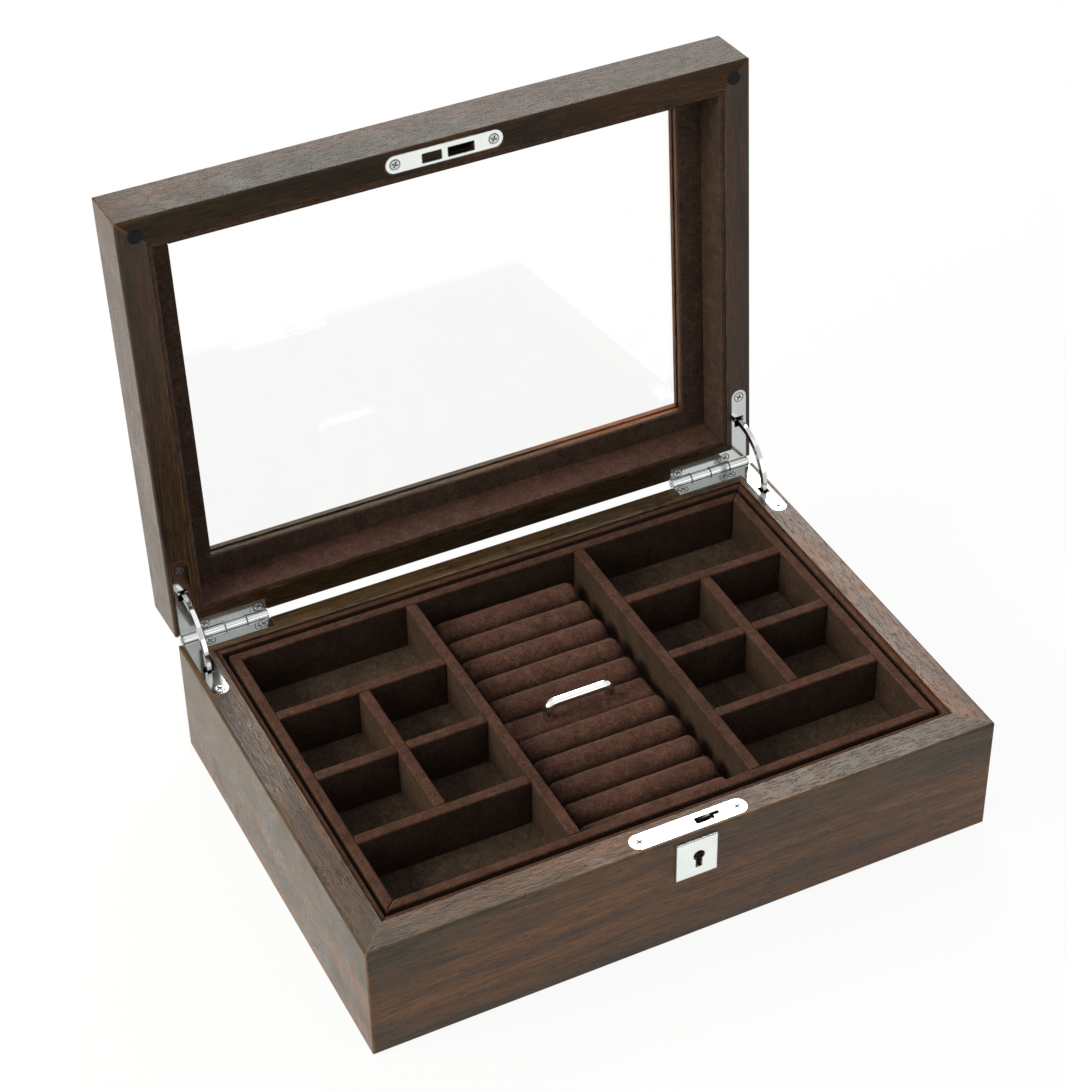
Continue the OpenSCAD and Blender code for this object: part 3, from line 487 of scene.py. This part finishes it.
dress(wood_front, WOOD_ROUND, "front_wall")
dress(wood_back, WOOD_ROUND, "back_wall")
dress(wood_side, WOOD_ROUND, "left_wall", "right_wall")
dress(lid_front, WOOD_ROUND, "lid_front_rail")
dress(lid_back, WOOD_ROUND, "lid_back_rail")
dress(lid_side, WOOD_ROUND, "lid_left_rail", "lid_right_rail")
dress(frame_long, WOOD_ROUND, "window_frame_front", "window_frame_back")
dress(frame_side, WOOD_ROUND, *sides("window_frame"))
dress(panel, 0.3 * MM, "bottom_panel")
dress(felt_under, 0.2 * MM, "underside_felt")
dress(velvet_top, 0.7 * MM, "front_liner", "back_liner", "left_liner", "right_liner",
      segments=3)
dress(velvet_top, 0.8 * MM, *sides("tray_ledge"), segments=3)
dress(velvet_floor, 0.5 * MM, "storage_floor_pad", "tray_floor")
dress(velvet_top, DIVIDER_ROUND, "tray_front_wall", "tray_back_wall", "tray_left_wall",
      "tray_right_wall", segments=3)
dress(velvet_top, DIVIDER_ROUND, "long_dividers", *sides("cross_dividers", "short_divider"),
      segments=3)
dress(velvet_lid, 0.5 * MM, "lid_front_liner", "lid_back_liner", "lid_left_liner",
      "lid_right_liner", "window_frame_trim", segments=3)
dress(plating, 0.2 * MM, *sides("base_hinge_leaf", "lid_hinge_leaf"))
dress(plate_nickel, 0.22 * MM, "lock_plate", "strike_plate", "escutcheon")
dress(stay_chrome, 0.2 * MM, *sides("stay"))
dress(plating, 0.12 * MM, "hinge_pins")
dress(screw_steel, 0.12 * MM, "base_hinge_screws", "lid_hinge_screws", "lock_plate_screws",
      "strike_plate_screws")
dress(handle_chrome, 0.12 * MM, "tray_handle")
dress(steel, 0.15 * MM, "lock_case", "hook_bolt", "bolt_pivot", "handle_screws")
dress(steel, 0, "detent_spring")
dress(pad, 0.42 * MM, "bumper_pads", segments=4)
dress(glass, 0, "glass_pane")

# ---------------------------------------------------------------- padded pieces


def mesh_object(name, verts, faces, material):
    """A smooth mesh in the scene."""
    mesh = bpy.data.meshes.new(name)
    mesh.from_pydata(verts, [], faces)
    mesh.validate()
    for polygon in mesh.polygons:
        polygon.use_smooth = True
    mesh.materials.append(material)
    obj = bpy.data.objects.new(name, mesh)
    bpy.context.scene.collection.objects.link(obj)
    return obj


def tube_faces(rings, around):
    """Quads between closed rings of points, with a fan of the two end points."""
    faces = []
    for i in range(rings - 1):
        for j in range(around):
            k = (j + 1) % around
            faces.append((i * around + j, i * around + k,
                          (i + 1) * around + k, (i + 1) * around + j))
    low, high = rings * around, rings * around + 1
    for j in range(around):
        k = (j + 1) % around
        faces.append((low, k, j))
        faces.append((high, (rings - 1) * around + j, (rings - 1) * around + k))
    return faces


def padded_bar(name, centre, length, half_w, half_h, power, seed, end_power=ROLL_END_POWER):
    """A stuffed bar along X. power shapes its section and end_power its drawn-in ends."""
    rng = random.Random(seed)
    off = Vector((rng.uniform(-9, 9), rng.uniform(-9, 9), rng.uniform(-9, 9)))
    rings, around = BAR_RINGS, BAR_AROUND
    verts = []
    for i in range(rings):
        s = -math.cos(math.pi * (i + 0.5) / rings)
        grow = (1 - abs(s) ** end_power) ** 0.5
        for j in range(around):
            a = 2 * math.pi * j / around
            c, d = math.cos(a), math.sin(a)
            reach = (abs(c) ** power + abs(d) ** power) ** (-1 / power)
            p = Vector((s * length / 2, c * reach * half_w * grow, d * reach * half_h * grow))
            # Uneven stuffing, in mm, drawn in a little so that it stays in the solid's box
            soft = noise.noise(p * 70 + off) * 0.22 + noise.noise(p * 240 + off) * 0.08
            normal = Vector((0, c, d))
            p += normal * (soft * MM - 0.12 * MM)
            verts.append(Vector(centre) + p)
    verts.append(Vector(centre) + Vector((-length / 2, 0, 0)))
    verts.append(Vector(centre) + Vector((length / 2, 0, 0)))
    return mesh_object(name, verts, tube_faces(rings, around), velvet_roll)


roll_lo, roll_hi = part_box("ring_rolls")
strip_lo, strip_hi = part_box("handle_strip")
ROLL_R = (roll_hi[2] - roll_lo[2]) / 2
ROLL_LEN = roll_hi[0] - roll_lo[0]
ROLL_Z = (roll_hi[2] + roll_lo[2]) / 2
STRIP_Y = (strip_lo[1] + strip_hi[1]) / 2


def roll_places():
    """The rolls' middles: five in front of the strip and five behind it."""
    pitch = (strip_lo[1] - (roll_lo[1] + ROLL_R)) / (ROLLS_EACH_SIDE - 0.5)
    for i in range(ROLLS_EACH_SIDE):
        yield strip_lo[1] - pitch * (i + 0.5)
    for i in range(ROLLS_EACH_SIDE):
        yield strip_hi[1] + pitch * (i + 0.5)


for number, y in enumerate(roll_places(), 1):
    roll = padded_bar(f"ring_roll_{number}", (0, y, ROLL_Z), ROLL_LEN, ROLL_R, ROLL_R,
                      ROLL_POWER, ROLL_SEED + number)
    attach(roll, "tray")
    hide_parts("ring_rolls")

strip = padded_bar("handle_pad", (0, STRIP_Y, (strip_lo[2] + strip_hi[2]) / 2), ROLL_LEN,
                   (strip_hi[1] - strip_lo[1]) / 2, (strip_hi[2] - strip_lo[2]) / 2,
                   STRIP_POWER, STRIP_SEED, STRIP_END_POWER)
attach(strip, "tray")
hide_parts("handle_strip")

# ---------------------------------------------------------------- floor, light and camera


def rays_seen(nodes_, links):
    """1 for rays that show the background: from the camera, in metal and through glass."""
    path = nodes_.new("ShaderNodeLightPath")
    total = path.outputs["Is Camera Ray"]
    for other in ("Is Glossy Ray", "Is Transmission Ray"):
        add = nodes_.new("ShaderNodeMath")
        add.operation = "ADD"
        add.use_clamp = True
        links.new(total, add.inputs[0])
        links.new(path.outputs[other], add.inputs[1])
        total = add.outputs[0]
    return total


def make_world(diffuse_strength):
    """White where it is seen, dim where it lights the object."""
    world = bpy.data.worlds.new("studio")
    bpy.context.scene.world = world
    world.use_nodes = True
    n, links = world.node_tree.nodes, world.node_tree.links
    n.clear()
    out = n.new("ShaderNodeOutputWorld")
    light = n.new("ShaderNodeBackground")
    shown = n.new("ShaderNodeBackground")
    both = n.new("ShaderNodeMixShader")
    light.inputs["Color"].default_value = (1.0, 0.99, 0.97, 1)
    light.inputs["Strength"].default_value = diffuse_strength
    shown.inputs["Color"].default_value = (1, 1, 1, 1)
    shown.inputs["Strength"].default_value = 1.0
    links.new(rays_seen(n, links), both.inputs[0])
    links.new(light.outputs[0], both.inputs[1])
    links.new(shown.outputs[0], both.inputs[2])
    links.new(both.outputs[0], out.inputs["Surface"])


def make_floor(shadow_share):
    """A pale floor that shows white and still takes a faint shadow."""
    side = FLOOR_HALF
    verts = [(-side, -side, 0), (side, -side, 0), (side, side, 0), (-side, side, 0)]
    material = bpy.data.materials.new("floor")
    material.use_nodes = True
    n, links = material.node_tree.nodes, material.node_tree.links
    n.clear()
    out = n.new("ShaderNodeOutputMaterial")
    matt = n.new("ShaderNodeBsdfDiffuse")
    matt.inputs["Color"].default_value = (0.92, 0.92, 0.92, 1)
    glow = n.new("ShaderNodeEmission")
    glow.inputs["Strength"].default_value = 1.0
    both = n.new("ShaderNodeMixShader")
    share = n.new("ShaderNodeMath")
    share.operation = "MULTIPLY"
    share.inputs[1].default_value = 1 - shadow_share
    links.new(rays_seen(n, links), share.inputs[0])
    links.new(share.outputs[0], both.inputs[0])
    links.new(matt.outputs[0], both.inputs[1])
    links.new(glow.outputs[0], both.inputs[2])
    links.new(both.outputs[0], out.inputs["Surface"])
    floor = mesh_object("floor", verts, [(0, 1, 2, 3)], material)
    floor.location.z = -FLOOR_DROP


def softbox(name, place, size, power, colour=(1, 1, 1)):
    """A lamp of size metres and power watts, aimed at the object's middle."""
    data = bpy.data.lights.new(name, "AREA")
    data.color = colour
    data.shape = "RECTANGLE"
    data.size, data.size_y = size
    data.energy = power
    lamp = bpy.data.objects.new(name, data)
    bpy.context.scene.collection.objects.link(lamp)
    lamp.location = place
    lamp.rotation_mode = "QUATERNION"
    lamp.rotation_quaternion = (Vector(AIM) - Vector(place)).to_track_quat("-Z", "Y")


def make_camera():
    """The camera that was solved from the box's corners in the photo."""
    place = Vector((-0.412905, -0.819160, 0.878156))
    right = Vector((0.896623, -0.442526, -0.015424))
    up = Vector((0.288276, 0.556942, 0.778918))
    data = bpy.data.cameras.new("camera")
    data.sensor_fit = "VERTICAL"
    data.sensor_height = 36
    data.sensor_width = 36
    data.lens = 91.01
    camera = bpy.data.objects.new("camera", data)
    bpy.context.scene.collection.objects.link(camera)
    right.normalize()
    back = right.cross(up).normalized()
    up = back.cross(right)
    turn = Matrix((right, up, back)).transposed().to_4x4()
    camera.matrix_world = Matrix.Translation(place) @ turn
    bpy.context.scene.camera = camera


make_world(WORLD_DIFFUSE)
make_floor(FLOOR_SHADOW)
softbox("top_back", (0.75, 1.55, 1.45), (1.25, 1.05), 30, (1.0, 0.97, 0.95))
softbox("overhead", (0.1, -0.2, 1.8), (1.6, 1.6), 4)
softbox("left_key", (-1.6, 0.1, 1.0), (1.1, 1.0), 36, (1.0, 0.99, 0.82))
softbox("front_fill", (0.7, -1.8, 0.7), (1.2, 1.0), 4)
make_camera()
bpy.context.scene.view_settings.view_transform = "Standard"
